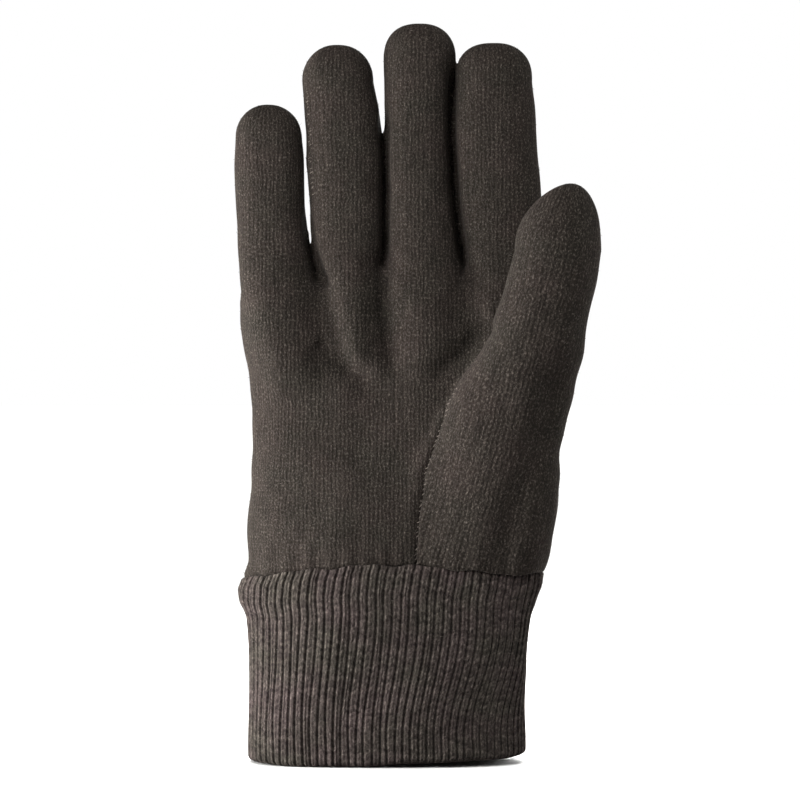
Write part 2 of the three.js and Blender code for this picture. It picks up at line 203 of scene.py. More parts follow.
# the fingers, each with the padded foot that runs down into the palm
feet = curve_through(finger_sections)
made = []
for finger in fingers:
    root = cuff_length + finger["root"] * palm_length
    tip_height = finger["rows"][-1][2] * palm_width / 2
    body = finger["length"] - tip_height
    up = np.where(Z < root, (Z - root) / cushion_length, (Z - root) / body)
    across, wide = curve_through(finger["rows"])(np.clip(up, 0, 1))
    share, front, back = feet(np.clip(up, -1, 1))
    across = across - finger["lean"] * np.clip(up, -1, 0)
    half = wide * share * palm_width / 2
    front, back = front * finger["depth"], back * finger["depth"]
    u = (X - across * palm_width) / half
    v = side / np.where(side < 0, front, back)
    flat = (np.abs(u) ** finger_squareness + np.abs(v) ** finger_squareness) ** (1 / finger_squareness)
    end = np.maximum(0, (Z - root - body) / tip_height)
    end = end + np.maximum(0, (root - cushion_length - Z) / cushion_end)
    made.append(distance((flat ** finger["tip"] + end ** finger["tip"]) ** (1 / finger["tip"])))
    finger.update(root_z=root, middle=across)
side_softness, palm_softness = 0.25, 5.0
foot_softness = [1.5, 0.4, 10.0]  # between the feet of each two neighbours, which part further up
fingers_part = (156, 172)
together = made[0]
for other, softness in zip(made[1:], foot_softness):
    softness = side_softness + softness * (1 - smooth_step(Z, *fingers_part))
    together = smooth_min(together, other, softness)
hand = smooth_min(palm, together, palm_softness)

# the thumb and its ball, which stand in front of the palm
up = (Z - cuff_length) / thumb_length
across, wide, forward, front, back = curve_through(thumb_sections)(np.clip(up, 0, thumb_end))
end_height = thumb_length * (1 - thumb_end)
end = np.maximum(0, (up - thumb_end) * thumb_length / end_height)
thumb_middle = across * thumb_reach + thumb_end_lean * thumb_reach * np.minimum(end, 1) ** 2
u = (X - thumb_middle) / (thumb_width * wide / 2)
v = Y + forward * thumb_forward
v = v / (np.where(v < 0, front, back) * thumb_depth)
flat = (np.abs(u) ** thumb_squareness + np.abs(v) ** thumb_squareness) ** (1 / thumb_squareness)
thumb = (flat**thumb_end_roundness + end**thumb_end_roundness) ** (1 / thumb_end_roundness)
ball_softness, crotch_softness = 12.0, 2.0
thumb_parts = (98, 123)
softness = ball_softness - (ball_softness - crotch_softness) * smooth_step(Z, *thumb_parts)
hand = smooth_min(hand, distance(thumb), softness)

# the thumb's seam: how far past it each point is, on the thumb's side
above_thumb = (197, 203)
seam_x, seam_y, turn = curve_through(thumb_seam)(up)
turn = np.radians(turn)
by_thumb = (X - seam_x * palm_width) * np.sin(turn) - (Y + seam_y * palm_depth) * np.cos(turn)
by_thumb = by_thumb - 30 * smooth_step(Z, *above_thumb)  # up there, all belongs to the fingers

# the folds of the filled glove: each deepens quickly from its first point and fades towards its last
folds = [  # points across and up on the palm, depth and width
    # between the pads of the palm
    ([(-1.5, 174), (-1.4, 160), (-0.4, 146), (1.6, 129)], 2.2, 2.3),
    ([(-21.7, 168), (-19.8, 158), (-16, 142), (-12, 128)], 1.6, 2.4),
    ([(-5.4, 176), (-5.2, 160), (-4.4, 146), (-3, 132)], 1.3, 3.6),
    ([(-24, 144), (-19, 139), (-14, 135), (-9, 132), (-3, 131)], 1.7, 3.2),
    ([(36, 150), (30, 143), (22, 136), (13, 131)], 1.5, 3.6),
    # down the ball of the thumb
    ([(57, 140), (53, 118), (48, 100), (43, 86), (38, 68), (33, 50)], 1.9, 4.6),
    # between the fingers
    ([(21.8, 240), (22.0, 213), (22.9, 197), (24.3, 184), (25.6, 176), (26.6, 167)], 7.0, 1.25),
    ([(-0.9, 222), (-0.6, 212), (-0.4, 192), (-0.5, 178), (-1.0, 167)], 7.0, 1.25),
    ([(-27.4, 188), (-26.0, 177), (-24.4, 172), (-21.8, 165), (-20.4, 160)], 6.0, 1.3),
]
for line, deep, broad in folds:
    near, along = np.full(X.shape[:1] + (1,) + Z.shape[2:], np.inf), 0
    for i, ((x0, z0), (x1, z1)) in enumerate(zip(line, line[1:])):
        dx, dz = x1 - x0, z1 - z0
        t = np.clip(((X - x0) * dx + (Z - z0) * dz) / (dx * dx + dz * dz), 0, 1)
        far = np.hypot(X - x0 - t * dx, Z - z0 - t * dz)
        along = np.where(far < near, (i + t) / (len(line) - 1), along)
        near = np.minimum(near, far)
    taper = smooth_step(along, 0, 0.12) * (1 - smooth_step(along, 0.7, 1))
    in_palm = smooth_step(-side, 0.5, 3.5)
    hand += deep * np.exp(-((near / broad) ** 2)) * taper * in_palm
steepness = np.sqrt(sum(g * g for g in np.gradient(hand, cell)))
hand = hand / np.maximum(1, steepness)  # so that the walls keep their thickness in the creases

# the cloth has soft uneven lumps, less on the fingers, puckers above the wrist, and draws in at its seams
lump_waves = [(34, 0.3)] * 4 + [(20, 0.2)] * 5 + [(12, 0.1)] * 6
pucker_height, pucker_pitch = 0.22, 6.3
groove_depth, groove_width = 0.6, 0.9
thumb_groove_depth, thumb_groove_width = 0.8, 0.75
lumps_fade, pucker_fades, thumb_groove_fades = (160, 178), (69, 80), (125, 140)
rng = np.random.default_rng(5)
lumps = np.zeros_like(hand)
for wavelength, height in lump_waves:
    direction = rng.normal(size=3)
    direction *= 2 * np.pi / wavelength / np.linalg.norm(direction)
    phase = rng.uniform(0, 2 * np.pi)
    lumps += height * np.sin(X * direction[0] + Y * direction[1] + Z * direction[2] + phase)
lumps *= 0.5 - 0.3 * smooth_step(Z, *lumps_fade)
pucker = pucker_height * np.sin(2 * np.pi * (X + 1.5 * np.sin(X / 9)) / pucker_pitch)
pucker = pucker * (1 - smooth_step(Z, *pucker_fades))
hand += groove_depth * np.exp(-((side / groove_width) ** 2)) + lumps + pucker
thumb_groove = thumb_groove_depth * np.exp(-((by_thumb / thumb_groove_width) ** 2))
hand += thumb_groove * (1 - smooth_step(Z, *thumb_groove_fades))

# the walls of cloth, cut off along the wrist seam with a rounded edge
wrist_edge, wall_softness, edge_softness = 0.3, 0.5, 0.9
wrist = cuff_length + wrist_rise(X) - wrist_dip(X) + wrist_edge - Z
shell = smooth_max(smooth_max(hand, -hand - jersey_wall, wall_softness), wrist, edge_softness)


def skin(field):
    """The surface where a field on the grid is zero: points in millimetres and four-sided faces."""
    inside = field < 0
    ends = [(i, j, k) for i in (0, 1) for j in (0, 1) for k in (0, 1)]
    size = np.array(field.shape) - 1
    part = [tuple(slice(e, e + s) for e, s in zip(end, size)) for end in ends]
    count = sum(inside[p].astype(np.int8) for p in part)
    mixed = (count > 0) & (count < 8)
    number = np.full(size, -1, dtype=np.int64)
    number[mixed] = np.arange(mixed.sum())
    cells = np.argwhere(mixed)
    value = np.stack([field[p][mixed] for p in part], axis=1)

    # a point in each cell that the surface passes through, in the middle of where it crosses the edges
    total, hits = np.zeros((len(cells), 3)), np.zeros(len(cells))
    for a in range(8):
        for b in range(a + 1, 8):
            step = np.subtract(ends[b], ends[a])
            if np.abs(step).sum() != 1:
                continue
            crossing = (value[:, a] < 0) != (value[:, b] < 0)
            gap = np.where(crossing, value[:, a] - value[:, b], 1)
            t = np.where(crossing, value[:, a] / gap, 0)[:, None]
            total += np.where(crossing[:, None], np.array(ends[a]) + t * step, 0)
            hits += crossing
    points = cells + total / hits[:, None]

    # a face round each edge of the grid that the surface crosses
    faces = []
    for axis in range(3):
        one, two = np.eye(3, dtype=int)[(axis + 1) % 3], np.eye(3, dtype=int)[(axis + 2) % 3]
        near = inside.take(range(field.shape[axis] - 1), axis)
        far = inside.take(range(1, field.shape[axis]), axis)
        edge = np.argwhere(near != far)
        edge = edge[np.all((edge - one - two >= 0) & (edge < size), axis=1)]
        quad = np.stack([number[tuple((edge - o).T)] for o in (one + two, two, 0 * one, one)], axis=1)
        turned = ~near[tuple(edge.T)]
        quad[turned] = quad[turned, ::-1]
        faces.append(quad)
    faces = np.vstack(faces)
    points, faces = largest_island(points, faces[np.all(faces >= 0, axis=1)])

    # the points move along the field's slope until they lie on the surface
    probe = 0.4
    for _ in range(3):
        rise = [read(field, points + d) - read(field, points - d) for d in np.eye(3) * probe]
        slope = np.stack(rise, axis=1) / (2 * probe)
        move = read(field, points)[:, None] * slope / np.maximum((slope**2).sum(1), 1e-2)[:, None]
        points = points - np.clip(move, -probe, probe)
    return low_corner + cell * points, faces


def read(field, at):
    """A field's values between its grid points."""
    base = np.clip(np.floor(at).astype(int), 0, np.array(field.shape) - 2)
    t = at - base
    total = 0
    for i in (0, 1):
        for j in (0, 1):
            for k in (0, 1):
                weight = (t[:, 0] if i else 1 - t[:, 0]) * (t[:, 1] if j else 1 - t[:, 1])
                weight = weight * (t[:, 2] if k else 1 - t[:, 2])
                total = total + weight * field[base[:, 0] + i, base[:, 1] + j, base[:, 2] + k]
    return total


def largest_island(points, faces):
    """Only the largest connected piece, without crumbs that a cut leaves."""
    label = np.arange(len(points))
    edges = np.vstack([faces[:, [0, 1]], faces[:, [1, 2]], faces[:, [2, 3]]])
    while True:
        before = label.copy()
        lowest = np.minimum(label[edges[:, 0]], label[edges[:, 1]])
        np.minimum.at(label, edges[:, 0], lowest)
        np.minimum.at(label, edges[:, 1], lowest)
        label = label[label]
        if np.array_equal(before, label):
            break
    names, sizes = np.unique(label, return_counts=True)
    kept = label == names[np.argmax(sizes)]
    renumber = np.cumsum(kept) - 1
    return points[kept], renumber[faces[kept[faces].all(axis=1)]]


def side_cloth(depth, side_depth):
    """How much more cloth goes back round a rounded side than shows from the front."""
    return 0.7 * np.maximum(0, side_depth - depth)


def knit_at(p):
    """Where the cloth of the hand lies on its flat cut: across and along the wales, in millimetres."""
    x, y, z = p.T
    depth = np.abs(y - curl(z))
    middle, root = np.zeros_like(x), np.zeros_like(x)
    best = np.full_like(x, np.inf)
    for finger in fingers:
        across = np.interp(z, Z.ravel(), finger["middle"].ravel()) * palm_width
        closer = np.abs(x - across) < best
        best = np.where(closer, np.abs(x - across), best)
        middle = np.where(closer, across, middle)
        root = np.where(closer, finger["root_z"], root)
    on_finger = smooth_step(z, root - 16, root + 1)
    off = x - 3.0
    palm_roll = side_cloth(depth, 14.0) * np.sign(off) * smooth_step(np.abs(off), 25, 45)
    finger_roll = side_cloth(depth, 8.4) * np.clip((x - middle) / 9, -1, 1)
    across = x + palm_roll * (1 - on_finger) + finger_roll * on_finger
    return np.stack([across, z, np.zeros_like(z)], axis=1)


def mesh_piece(name, points, faces, knit, material):
    """A smooth mesh of the points, with the cloth's flat coordinates kept on them."""
    mesh = bpy.data.meshes.new(name)
    mesh.from_pydata((points * mm).tolist(), [], faces.tolist())
    mesh.polygons.foreach_set("use_smooth", np.ones(len(mesh.polygons), dtype=bool))
    mesh.attributes.new("knit", "FLOAT_VECTOR", "POINT").data.foreach_set("vector", knit.ravel())
    mesh.materials.append(material)
    piece = bpy.data.objects.new(name, mesh)
    bpy.context.scene.collection.objects.link(piece)
    return piece


def colour(hex_value):
    """An sRGB colour as the linear one that the shader takes."""
    rgb = np.array([(hex_value >> s) & 255 for s in (16, 8, 0)]) / 255
    return (*np.where(rgb <= 0.04045, rgb / 12.92, ((rgb + 0.055) / 1.055) ** 2.4), 1)


def add(tree, kind, inputs, **settings):
    """Adds a node: settings are set on it, and inputs are values or other nodes' outputs."""
    made = tree.nodes.new(kind)
    for name, value in settings.items():
        setattr(made, name, value)
    for name, value in inputs.items():
        if isinstance(value, bpy.types.NodeSocket):
            tree.links.new(value, made.inputs[name])
        else:
            made.inputs[name].default_value = value
    return made.outputs


def heather(tree, place, flecks_per_mm, fleck_reach, patches_per_mm, shades):
    """The colour of heather yarn, where undyed fibres show as pale flecks, and its noise of fibres."""
    fibre = add(tree, "ShaderNodeVectorMath", {0: place, 1: flecks_per_mm}, operation="MULTIPLY")[0]
    fibre = add(tree, "ShaderNodeTexNoise",
                {"Vector": fibre, "Scale": 1.0, "Detail": 4, "Roughness": 0.7})["Fac"]
    start, full, most = fleck_reach
    flecks = add(tree, "ShaderNodeMapRange", {0: fibre, 1: start, 2: full, 3: 0.0, 4: most})[0]
    patch = add(tree, "ShaderNodeTexNoise", {"Vector": place, "Scale": patches_per_mm, "Detail": 3})["Fac"]
    patch = add(tree, "ShaderNodeMapRange", {0: patch, 1: 0.35, 2: 0.65, 3: 0.0, 4: 1.0})[0]
    grey, brown = (colour(shade) for shade in shades)
    yarn = add(tree, "ShaderNodeMix", {0: patch, 6: grey, 7: brown}, data_type="RGBA")[2]
    undyed = colour(0x8A8078)
    return add(tree, "ShaderNodeMix", {0: flecks, 6: yarn, 7: undyed}, data_type="RGBA")[2], fibre


def finish_cloth(tree, yarn, tones_and_shade, bump):
    """Cotton's matt face with its faint sheen, the yarn made darker or lighter by each entry: by its own
    tones, and by painted shade in the knit's hollows.
    """
    for source, start, end, dark, light in tones_and_shade:
        factor = add(tree, "ShaderNodeMapRange", {0: source, 1: start, 2: end, 3: dark, 4: light})[0]
        yarn = add(tree, "ShaderNodeVectorMath", {0: yarn, "Scale": factor}, operation="SCALE")[0]
    face = tree.nodes["Principled BSDF"].inputs
    tree.links.new(yarn, face["Base Color"])
    tree.links.new(bump, face["Normal"])
    face["Roughness"].default_value = 0.95
    face["Specular IOR Level"].default_value = 0.1
    face["Sheen Weight"].default_value = 0.1
    face["Sheen Roughness"].default_value = 0.5
    face["Sheen Tint"].default_value = colour(0xB3A8A0)


# brushed cotton jersey in brown-grey heather: dyed and undyed fibres are spun together, so each stitch
# has its own shade, and the nap of loose fibre ends lifts the edges with a soft pale bloom
wale, course = 1.4, 1.15  # how far apart its columns and rows of stitches are
wander_per_mm, wander_size = 0.2, 2.2  # how the rows and columns waver
leg_slant, bead_share, ridge_share, fuzz_share, fuzz_per_mm = 1.1, 0.35, 1.2, 0.6, 1.6
knit_relief, knit_strength = 0.3, 0.75
streaks_per_mm = (0.75, 0.12, 1)  # about as wide as a wale, and as long as seven courses
flecks_per_mm = (2.05, 1.2, 1)  # coarser than single fibres, so that they show
jersey = bpy.data.materials.new("cotton_jersey")
jersey.use_nodes = True
t = jersey.node_tree
knit = add(t, "ShaderNodeAttribute", {}, attribute_name="knit")["Vector"]
wander = add(t, "ShaderNodeTexNoise", {"Vector": knit, "Scale": wander_per_mm, "Detail": 3})["Color"]
wander = add(t, "ShaderNodeVectorMath", {0: wander, 1: (0.5, 0.5, 0.5)}, operation="SUBTRACT")[0]
wander = add(t, "ShaderNodeVectorMath", {0: wander, "Scale": wander_size}, operation="SCALE")[0]
cloth = add(t, "ShaderNodeVectorMath", {0: knit, 1: wander}, operation="ADD")[0]
stitch = add(t, "ShaderNodeVectorMath", {0: cloth, 1: (wale, course, 1)}, operation="DIVIDE")[0]
parts = add(t, "ShaderNodeSeparateXYZ", {0: stitch})
ridge = add(t, "ShaderNodeMath", {0: parts[0], 1: 0.5}, operation="PINGPONG")[0]
leg = add(t, "ShaderNodeMath", {0: ridge, 1: leg_slant, 2: parts[1]}, operation="MULTIPLY_ADD")[0]
bead = add(t, "ShaderNodeMath", {0: leg, 1: 0.5}, operation="PINGPONG")[0]
bead = add(t, "ShaderNodeMath", {0: bead, 1: bead_share}, operation="MULTIPLY")[0]
weave = add(t, "ShaderNodeMath", {0: ridge, 1: ridge_share, 2: bead}, operation="MULTIPLY_ADD")[0]
fuzz = add(t, "ShaderNodeTexNoise", {"Vector": knit, "Scale": fuzz_per_mm, "Detail": 4})["Fac"]
height = add(t, "ShaderNodeMath", {0: fuzz, 1: fuzz_share, 2: weave}, operation="MULTIPLY_ADD")[0]
bump = add(t, "ShaderNodeBump",
           {"Height": height, "Distance": knit_relief * mm, "Strength": knit_strength})[0]
cell_of = add(t, "ShaderNodeCombineXYZ", {0: parts[0], 1: leg})[0]
cell_of = add(t, "ShaderNodeVectorMath", {0: cell_of}, operation="FLOOR")[0]
shade = add(t, "ShaderNodeTexWhiteNoise", {"Vector": cell_of})[0]
streak = add(t, "ShaderNodeVectorMath", {0: knit, 1: streaks_per_mm}, operation="MULTIPLY")[0]
streak = add(t, "ShaderNodeTexNoise", {"Vector": streak, "Scale": 1.0, "Detail": 2})["Fac"]
yarn, fibre = heather(t, knit, flecks_per_mm, fleck_reach=(0.52, 0.75, 0.55), patches_per_mm=0.055,
                      shades=(0x322E29, 0x38312D))
# the weave's entry darkens the yarn in the weave's low places between the wales: painted shade in the
# knit's hollows; the streaks, each stitch's own tint and the fibres are the yarn's own tones
tones_and_shade = [  # what it follows, from and to which values, and the yarn's brightness at each of them
    (weave, 0.05, 0.7, 0.8, 1.08), (streak, 0.3, 0.7, 0.76, 1.24),
    (shade, 0.0, 1.0, 0.88, 1.12), (fibre, 0.3, 0.7, 0.55, 1.3),
]
finish_cloth(t, yarn, tones_and_shade, bump)

# loose ends of cotton that stand up out of the brushed face: pale, matt and hair-thin, drawn about four
# times as thick as the real 0.02 mm so that they show
nap_radius, nap_root, nap_bend, nap_stand = 0.045, 0.15, 0.35, (0.1, 0.55)
shades_per_mm = 0.7
loose_cotton = bpy.data.materials.new("loose_cotton_fibre")
loose_cotton.use_nodes = True
t = loose_cotton.node_tree
shader = t.nodes["Principled BSDF"]
place = add(t, "ShaderNodeTexCoord", {})["Object"]
mixed = add(t, "ShaderNodeTexNoise", {"Vector": place, "Scale": shades_per_mm / mm, "Detail": 1})["Fac"]
mixed = add(t, "ShaderNodeMapRange", {0: mixed, 1: 0.4, 2: 0.6, 3: 0.0, 4: 1.0})[0]
dyed, undyed = colour(0x453F3A), colour(0x857B73)
yarn = add(t, "ShaderNodeMix", {0: mixed, 6: dyed, 7: undyed}, data_type="RGBA")[2]
t.links.new(yarn, shader.inputs["Base Color"])
shader.inputs["Roughness"].default_value = 0.9
shader.inputs["Specular IOR Level"].default_value = 0.2


def threads(name, runs, radius, material):
    """One mesh of closed threads with pointed ends, each through its own row of points."""
    runs = np.asarray(runs, float)
    number, steps = runs.shape[:2]
    along = np.gradient(runs, axis=1)
    along /= np.linalg.norm(along, axis=2, keepdims=True) + 1e-9
    one = np.cross(along, (0.31, 0.9, 0.22))
    one /= np.linalg.norm(one, axis=2, keepdims=True) + 1e-9
    two = np.cross(along, one)
    sides = 5
    turn = 2 * np.pi * np.arange(sides) / sides
    girth = radius * np.sin(np.pi * (np.arange(1, steps - 1)) / (steps - 1))[None, :, None, None] ** 0.4
    rings = runs[:, 1:-1, None] + girth * (
        one[:, 1:-1, None] * np.cos(turn)[:, None] + two[:, 1:-1, None] * np.sin(turn)[:, None])
    rings = rings.reshape(number, -1, 3)
    points = np.concatenate([runs[:, :1], rings, runs[:, -1:]], axis=1)
    each, last = points.shape[1], points.shape[1] - 1
    faces = []
    for k in range(sides):
        after = (k + 1) % sides
        faces.append((0, 1 + after, 1 + k))
        faces.append((last, last - sides + k, last - sides + after))
        for j in range(steps - 3):
            low, high = 1 + j * sides, 1 + (j + 1) * sides
            faces.append((low + k, low + after, high + after))
            faces.append((low + k, high + after, high + k))
    faces = (np.array(faces)[None] + each * np.arange(number)[:, None, None]).reshape(-1, 3)
    points = points.reshape(-1, 3)
    return mesh_piece(name, points, faces, 0 * points, material)


def nap(name, points, faces, count, seed):
    """Loose fibres over a skin: each starts in the cloth, lies over and ends in the air."""
    rng = np.random.default_rng(seed)
    corner = points[faces[rng.integers(0, len(faces), count)]]
    outward = np.cross(corner[:, 2] - corner[:, 0], corner[:, 3] - corner[:, 1])
    outward /= np.linalg.norm(outward, axis=1, keepdims=True) + 1e-9
    way = rng.normal(size=(count, 3))
    way -= outward * (way * outward).sum(1, keepdims=True)
    way /= np.linalg.norm(way, axis=1, keepdims=True) + 1e-9
    bend = np.cross(outward, way) * rng.normal(0, nap_bend, (count, 1))
    length = rng.gamma(4.0, 0.24, (count, 1))  # most are near 1 mm long
    stand = rng.uniform(*nap_stand, (count, 1))
    runs = [corner.mean(1) - nap_root * outward + s * length * (way + s * bend)
            + stand * outward * np.sin(np.pi * s * 0.7) for s in np.linspace(0, 1, 5)]
    return threads(name, np.stack(runs, axis=1), nap_radius, loose_cotton)


# each panel reaches a little over the seam's line, so that no light shows through between two of them
seam_overlap, seam_softness, thumb_seam_softness = 0.05, 0.7, 0.6
on_hand = by_thumb - seam_overlap
in_front = smooth_max(smooth_max(shell, side - seam_overlap, seam_softness), on_hand, thumb_seam_softness)
points, faces = skin(in_front)
palm_panel = mesh_piece("palm_panel_jersey", points, faces, knit_at(points), jersey)
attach(palm_panel, "root")
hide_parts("palm_panel")
palm_nap = nap("palm_panel_nap", points, faces, count=1900, seed=21)
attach(palm_nap, "root")


# Back panel: the back of the hand, from the same brushed jersey, sewn to the palm panel all round.
behind = smooth_max(smooth_max(shell, -side - seam_overlap, seam_softness), on_hand, thumb_seam_softness)
points, faces = skin(behind)
back_panel = mesh_piece("back_panel_jersey", points, faces, knit_at(points), jersey)
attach(back_panel, "root")
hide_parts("back_panel")
back_nap = nap("back_panel_nap", points, faces, count=1900, seed=22)
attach(back_nap, "root")


# Thumb piece: the thumb and its ball, cut separately from the same jersey and set into the panels.
# Its wales run straight and lean outwards with the thumb, stretched wider than on the panels.
thumb_wale, wale_lean, course_stretch = 1.67, 0.25, 1.02
thumb_stretch = thumb_wale / wale
points, faces = skin(smooth_max(shell, -by_thumb, thumb_seam_softness))
x, y, z = points.T
middle = np.interp(z, Z.ravel(), thumb_middle.ravel())
stands = np.interp(z, Z.ravel(), (forward * thumb_forward).ravel())
roll = side_cloth(np.abs(y + stands), 11.0) * np.clip((x - middle) / 11, -1, 1)
across, along = x - wale_lean * z + roll, (z + wale_lean * x) * course_stretch
knit = np.stack([across, along, np.full_like(z, 7)], axis=1) / thumb_stretch  # flecks of its own
thumb_piece = mesh_piece("thumb_piece_jersey", points, faces, knit, jersey)
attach(thumb_piece, "root")
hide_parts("thumb_piece")
thumb_nap = nap("thumb_piece_nap", points, faces, count=1000, seed=23)
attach(thumb_nap, "root")


# Seam stitches: cotton sewing thread in the heather's own shades. Its loops and the cut edge's fibres
# show as pale ticks along the thumb's side of its seam, and along the ring finger's outer side seam.
stitch_pitch, stitch_reach, stitch_height = 1.8, 1.1, 0.3
thread_radius, thread_sunk = 0.16, 0.05


def front_of(x, z):
    """How far forward the hand's surface lies at points across and up."""
    at = np.stack([(x - low_corner[0]) / cell, 0 * x, (z - low_corner[2]) / cell], axis=1)
    column = np.stack([read(hand, at + (0, j, 0)) for j in range(hand.shape[1] - 1)], axis=1)
    first = np.maximum(np.argmax(column < 0, axis=1), 1)
    here = np.arange(len(x))
    before, after = column[here, first - 1], column[here, first]
    return low_corner[1] + cell * (first - 1 + before / (before - after))


def stitch_row(name, seam_at, heights, rng):
    """Loops of thread at heights along a seam, each from the seam over the edge of the piece beside it."""
    count = len(heights)
    s = np.linspace(0, 1, 7)
    across = seam_at[:, None] + rng.normal(0.1, 0.12, (count, 1))
    across = across + stitch_reach * s * rng.uniform(0.5, 1.15, (count, 1))
    rise = heights[:, None] + rng.normal(0, 0.25, (count, 1)) + s * rng.normal(0.7, 0.35, (count, 1))
    surface = front_of(across.ravel(), rise.ravel()).reshape(across.shape)
    forward = surface + thread_sunk - stitch_height * np.sin(np.pi * s)
    row = threads(name, np.stack([across, forward, rise], axis=2), thread_radius, loose_cotton)
    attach(row, "root")


def on_grid(x, y, z):
    """Points in millimetres as places on the grid of the fields."""
    return (np.stack([x, y, z], axis=1) - low_corner) / cell


# the thumb's seam is where the surface first belongs to the thumb, from the middle of the palm outwards
rng = np.random.default_rng(31)
heights = np.arange(66.0, 128.0, stitch_pitch)
tries = np.arange(-8.0, 30.0, 0.4)
x, z = (a.ravel() for a in np.meshgrid(tries, heights))
on_thumb = read(by_thumb, on_grid(x, front_of(x, z), z)).reshape(len(heights), -1) > 0
stitch_row("thumb_seam_stitches", tries[np.argmax(on_thumb, axis=1)] - 0.3, heights, rng)

# the ring finger's outer seam is where the finger ends, a little way in front of its middle
heights = np.arange(193.0, 228.0, stitch_pitch)
tries = np.arange(-16.0, -31.0, -0.2)
x, z = (a.ravel() for a in np.meshgrid(tries, heights))
past_edge = read(hand, on_grid(x, curl(z) - 3.0, z)).reshape(len(heights), -1) > 0
stitch_row("ring_finger_stitches", tries[np.argmax(past_edge, axis=1)] + 0.7, heights, rng)


# Knitted cuff: a stretchy one-by-one rib tube, knitted double with a soft rolled fold at the hem, and
# sewn to the hand at the wrist. Halfway down its ribs lean over towards the little finger.
cuff_width, cuff_depth, cuff_squareness, cuff_wall = 93.4, 45.0, 2.7, 3.0
rib_count, rib_height, rib_drift, rib_sway, rib_steps = 90, 0.8, 0.034, 0.045, 10
rib_pitch, rib_course = 2.8, 1.2
rib_outset = 0.25
top_left, top_right, top_front, top_back = 0.474, 0.517, 0.535, 0.5  # shares of the palm's sizes
tuck_in, tuck_up = 0.8, 0.6
hem_rows, outside_rows, tuck_rows, lining_rows, inner_hem_rows = 5, 86, 3, 14, 2
cuff_sections = [  # share of the height; how far gone over to the palm; swell at left, right and depth
    (0.0, 0.0, -0.35, -0.2, -0.2), (0.03, 0.0, -0.2, 0.0, 0.1), (0.28, 0.0, -0.1, -0.1, 0.1),
    (0.55, 0.0, 0.0, 0.1, 0.05), (0.76, 0.25, 0.05, -0.05, 0.05), (0.87, 0.7, 0.6, -0.25, 0.15),
    (0.94, 0.9, 0.65, -0.1, 0.15), (1.0, 1.0, 0.22, -0.1, 0.1),
]
# rows of points up the cuff: how far inside its face, how high, and how full the ribs are
half_wall = cuff_wall / 2
rows = []
for a in np.linspace(0, np.pi / 2, hem_rows + 1)[:-1]:  # the fold at the hem, from mid-wall outwards
    rows.append((half_wall * (1 - np.sin(a)), half_wall * (1 - np.cos(a)), 0.45 + 0.55 * np.sin(a)))
for z in np.linspace(half_wall, cuff_length, outside_rows):
    rows.append((0.0, z, 1.0))
for a in np.linspace(0, np.pi / 2, tuck_rows + 1)[1:]:  # tucked in at the wrist seam
    rows.append((tuck_in * (1 - np.cos(a)), cuff_length + tuck_up * np.sin(a), 0.4 + 0.6 * np.cos(a)))
for z in np.linspace(cuff_length, half_wall, lining_rows):
    rows.append((cuff_wall, z, 0.25))
for a in np.linspace(np.pi / 2, 0, inner_hem_rows + 2)[1:-1]:  # and the rest of the fold
    rows.append((half_wall * (1 + np.sin(a)), half_wall * (1 - np.cos(a)), 0.3))


def hem_rise(x):
    """The hem's uneven line, which rises towards the thumb's side."""
    rise = 2.0 * smooth_step(x, -30, 34) + 0.4 * smooth_step(-x, 30, 46) + 0.15 * np.sin(x / 4)
    return rise + 0.8 * smooth_step(x, 36, 46)


